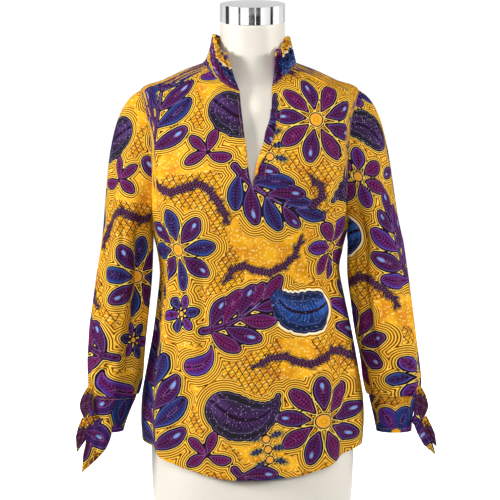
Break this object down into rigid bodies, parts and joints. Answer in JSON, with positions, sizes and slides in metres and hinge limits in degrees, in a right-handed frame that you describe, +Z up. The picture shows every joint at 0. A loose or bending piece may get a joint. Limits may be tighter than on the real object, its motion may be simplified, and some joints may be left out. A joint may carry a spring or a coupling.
{
  "type": "blouse on a limbless dress form",
  "caption": "Long-sleeved popover blouse with a slit neck, pleated stand collar, tied cuffs and curved hem, worn by a limbless dress form on a round base.",
  "frame": {"origin": "centre of the base's underside, on the floor", "axes": "+Z up, -Y the way the blouse faces, +X the wearer's left"},
  "size_m": [0.6298, 0.3, 1.079],
  "materials": {
    "printed_cotton": "printed plain-weave cotton with a slight glaze",
    "cuff_cotton": "the same printed cotton, cut from its dark motifs",
    "form_shell": "eggshell, off-white",
    "chrome": "polished",
    "steel": "satin"
  },
  "bodies": {
    "root": {"front": "printed_cotton", "back": "printed_cotton", "neck_facing": "printed_cotton", "collar": "printed_cotton", "sleeve_left": "printed_cotton", "cuff_left": "cuff_cotton", "tie_knot_left": "cuff_cotton", "tie_bow_left": "cuff_cotton", "tie_front_left": "cuff_cotton", "tie_back_left": "cuff_cotton", "sleeve_right": "printed_cotton", "cuff_right": "cuff_cotton", "tie_knot_right": "cuff_cotton", "tie_bow_right": "cuff_cotton", "tie_front_right": "cuff_cotton", "tie_back_right": "cuff_cotton", "form_torso": "form_shell", "form_cap": "chrome", "form_pole": "steel", "form_base": "steel"}
  },
  "joints": []
}
